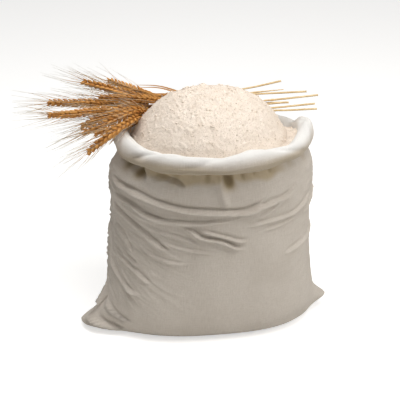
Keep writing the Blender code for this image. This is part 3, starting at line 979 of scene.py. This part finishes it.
def model_husk():
    """A pointed, keeled husk lying along +X, its root at the origin."""
    select_none()
    bpy.ops.mesh.primitive_uv_sphere_add(segments=10, ring_count=9, radius=1.0)
    item = bpy.context.object
    for vertex in item.data.vertices:
        x, y, z = vertex.co
        part = 0.5 * (z + 1.0)
        girth = (1.0 - 0.55 * part ** 2.2) * (0.75 + 0.25 * min(1.0, part * 5.0))
        keel = 1.0 + 0.18 * max(0.0, y)
        vertex.co = (part * HUSK_LONG, x * HUSK_HALF_WIDE * girth, y * HUSK_HALF_DEEP * girth * keel)
    return mesh_arrays(item)


def ear_frame(line, number):
    """Heading, side and upward direction at each point of an ear."""
    frames = []
    roll = math.radians(24.0 * math.sin(2.3 * number))
    for index in range(len(line)):
        ahead = Vector(line[min(index + 1, len(line) - 1)] - line[max(index - 1, 0)]).normalized()
        up = Vector((0.0, -0.35, 1.0))
        up = (up - ahead * up.dot(ahead)).normalized()
        up.rotate(Matrix.Rotation(roll, 3, ahead))
        frames.append((ahead, ahead.cross(up).normalized(), up))
    return frames


def husk_place(root, ahead, side, up, splay, lift, size):
    heading = (ahead * math.cos(splay) + side * math.sin(splay)).normalized()
    heading = (heading + up * lift).normalized()
    beside = up.cross(heading).normalized()
    top = heading.cross(beside).normalized()
    turn = Matrix((heading, beside, top)).transposed().to_4x4()
    return Matrix.Translation(root) @ turn @ Matrix.Diagonal((size, size, size, 1.0))


def ear_line(ear):
    return even_line(smooth_line(ear, 12) / 1000.0, EAR_POINTS)


def ear_husks(line, number, draw):
    """Where every husk of an ear sits: two rows of spikelets, each three husks wide."""
    frames = ear_frame(line, number)
    places = []
    for node in range(EAR_NODES):
        part = node / (EAR_NODES - 1)
        spot = min(int(part * 0.93 * (len(line) - 1)), len(line) - 2)
        ahead, side, up = frames[spot]
        hand = 1.0 if node % 2 else -1.0
        size = 0.62 + 0.45 * math.sin(math.pi * min(1.0, 0.10 + part * 0.84)) ** 0.7
        size *= draw.uniform(0.93, 1.07)
        root = Vector(line[spot]) + side * hand * 0.0011
        for lift in (-0.30, 0.02, 0.34):
            splay = math.radians(draw.uniform(14.0, 22.0)) * hand
            places.append(husk_place(root + up * lift * 0.0042, ahead, side, up, splay,
                                     lift + draw.uniform(-0.05, 0.05), size))
    ahead, side, up = frames[-1]
    root = Vector(line[int(0.9 * (len(line) - 1))])
    for lift in (-0.2, 0.2):
        places.append(husk_place(root, ahead, side, up, 0.0, lift, 0.85))
    return places


def make_ear(number, ear, shape, material):
    draw = random.Random(40 + number)
    line = ear_line(ear)
    places = ear_husks(line, number, draw)
    points, faces = join_copies(shape, places)
    core_line = line[2:-6:4]
    swell = np.sin(np.linspace(0.35, 2.6, len(core_line)))
    core_points, core_faces = tube(core_line, 0.0026 * swell + 0.0004, 8)
    faces.extend(shifted(core_faces, len(points)))
    points = np.concatenate([points, core_points])
    made = new_piece(f"ear_{number:02d}", points, faces, material)
    count = len(shape[0])
    core = np.full(len(core_points), 0.25)
    paint(made, "along", np.r_[np.tile(shape[0][:, 0] / HUSK_LONG, len(places)), core])
    paint(made, "tone", np.r_[np.repeat([draw.random() for _ in places], count), core])
    belongs(made, [f"wheat_{number:02d}"])
    return places


def awn_line(place, ahead, draw, reach):
    """A bristle that leaves a husk's tip and bends back toward the way the ear points."""
    heading = place.to_3x3().col[0].normalized()
    start = place @ Vector((HUSK_LONG * 0.93, 0.0, 0.0))
    spread = Vector([draw.uniform(-0.22, 0.22) for _ in range(3)])
    final = (ahead + heading * 0.55 + spread).normalized()
    points = [start]
    for step in range(AWN_STEPS):
        way = heading.lerp(final, min(1.0, 0.35 + 0.2 * step)).normalized()
        points.append(points[-1] + way * reach / AWN_STEPS)
    return np.array([tuple(point) for point in points])


def inside_box(line):
    """Keeps a bristle within the room the object has."""
    low = np.array(cad_box[0]) - 0.008
    high = np.array(cad_box[1]) + 0.008
    fits = np.all((line > low) & (line < high), axis=1)
    stop = len(line) if fits.all() else int(np.argmin(fits))
    return line[:stop]


def make_awns(number, ear, places, material):
    draw = random.Random(80 + number)
    line = ear_line(ear)
    frames = ear_frame(line, number)
    points, faces, along = [], [], []
    for index, place in enumerate(places):
        if draw.random() < AWNS_LEFT_OUT:
            continue
        part = index / len(places)
        ahead = frames[int(part * 0.9 * (EAR_POINTS - 1))][0]
        reach = AWN_LONG * draw.uniform(0.75, 1.15) * (0.75 + 0.35 * part)
        bristle = inside_box(awn_line(place, ahead, draw, reach))
        if len(bristle) < 3:
            continue
        radii = np.linspace(AWN_RADIUS * 1.5, AWN_RADIUS * 0.45, len(bristle))
        own_points, own_faces = tube(bristle, radii, 4)
        along.extend(np.repeat(np.arange(len(bristle)) / AWN_STEPS, 4))
        faces.extend(shifted(own_faces, len(points)))
        points.extend(own_points)
    made = new_piece(f"awns_{number:02d}", np.array(points), faces, material)
    paint(made, "along", along)
    belongs(made, [f"wheat_{number:02d}"])


# ---------------------------------------------------------------- stage
def make_floor():
    """A white floor that keeps the object's shadow."""
    select_none()
    bpy.ops.mesh.primitive_plane_add(size=6.0, location=(0.0, 0.0, 0.0))
    floor = bpy.context.object
    floor.name = "floor"
    board = Board("floor")
    seen = board.add("ShaderNodeLightPath", {}, {}, "Is Camera Ray")
    glossy = board.add("ShaderNodeLightPath", {}, {}, "Is Glossy Ray")
    glow = board.add("ShaderNodeEmission", {}, {"Color": (1.0, 1.0, 1.0), "Strength": FLOOR_GLOW},
                     "Emission")
    plain = board.add("ShaderNodeBsdfDiffuse", {}, {"Color": (0.80, 0.79, 0.77)}, "BSDF")
    both = board.add("ShaderNodeAddShader", {}, {0: glow, 1: plain}, "Shader")
    mixed = board.add("ShaderNodeMixShader", {}, {0: seen.largest(glossy), 1: plain, 2: both}, "Shader")
    out = board.tree.nodes["Material Output"]
    board.plug(out.inputs["Surface"], mixed)
    board.tree.nodes.remove(board.shader)
    floor.data.materials.append(board.material)


def make_world():
    world = bpy.data.worlds.new("studio")
    bpy.context.scene.world = world
    world.use_nodes = True
    tree = world.node_tree
    sky = tree.nodes["Background"]
    sky.inputs["Color"].default_value = (1.0, 0.985, 0.96, 1.0)
    sky.inputs["Strength"].default_value = SKY
    white = tree.nodes.new("ShaderNodeBackground")
    white.inputs["Color"].default_value = (1.0, 1.0, 1.0, 1.0)
    white.inputs["Strength"].default_value = 1.0
    path = tree.nodes.new("ShaderNodeLightPath")
    mix = tree.nodes.new("ShaderNodeMixShader")
    tree.links.new(path.outputs["Is Camera Ray"], mix.inputs[0])
    tree.links.new(sky.outputs[0], mix.inputs[1])
    tree.links.new(white.outputs[0], mix.inputs[2])
    tree.links.new(mix.outputs[0], tree.nodes["World Output"].inputs["Surface"])


def add_lamp(name, place, aim, size, power, colour=(1.0, 1.0, 1.0)):
    data = bpy.data.lights.new(name, "AREA")
    data.size = size
    data.energy = power
    data.color = colour
    lamp = bpy.data.objects.new(name, data)
    lamp.location = place
    lamp.rotation_euler = (Vector(aim) - Vector(place)).to_track_quat("-Z", "Y").to_euler()
    bpy.context.scene.collection.objects.link(lamp)


def make_lights():
    middle = (0.0, 0.0, 0.20)
    add_lamp("window", (1.25, -0.60, 1.00), middle, 0.9, 10.0, (1.0, 0.985, 0.965))
    add_lamp("overhead", (0.15, -0.50, 1.55), middle, 0.9, 12.5)
    add_lamp("left_fill", (-0.50, 0.15, 1.55), middle, 0.8, 7.5)
    add_lamp("low_fill", (-0.95, -0.95, 0.10), (-0.19, -0.08, 0.01), 0.4, 2.0, (1.0, 0.97, 0.93))


def make_camera():
    azimuth, elevation = CAMERA_AZIMUTH, CAMERA_ELEVATION
    across = Vector((math.cos(azimuth), math.sin(azimuth), 0.0))
    back = Vector((math.sin(azimuth) * math.cos(elevation), -math.cos(azimuth) * math.cos(elevation),
                   math.sin(elevation)))
    aim = across * -0.015 + Vector((0.0, 0.0, 0.187))
    data = bpy.data.cameras.new("camera")
    data.lens = CAMERA_LENS
    data.sensor_width = CAMERA_SENSOR
    camera = bpy.data.objects.new("camera", data)
    camera.location = aim + back * CAMERA_DISTANCE
    camera.rotation_euler = (-back).to_track_quat("-Z", "Y").to_euler()
    bpy.context.scene.collection.objects.link(camera)
    bpy.context.scene.camera = camera


# ---------------------------------------------------------------- build
def make_wheat():
    shape = model_husk()
    husk_finish, straw_finish, awn_finish = husk(), straw(), awn()
    for number, (stem, head) in enumerate(STALKS, start=1):
        make_straw(number, stem, head, straw_finish)
        ear = (stem[-1], *head)
        places = make_ear(number, ear, shape, husk_finish)
        make_awns(number, ear, places, awn_finish)


def main():
    bpy.context.scene.view_settings.view_transform = "Standard"
    make_camera()
    make_world()
    make_lights()
    make_floor()
    flour = wholemeal()
    make_sack(cotton())
    make_flour(flour)
    make_crumbs(flour)
    make_bran(bran())
    make_wheat()


main()
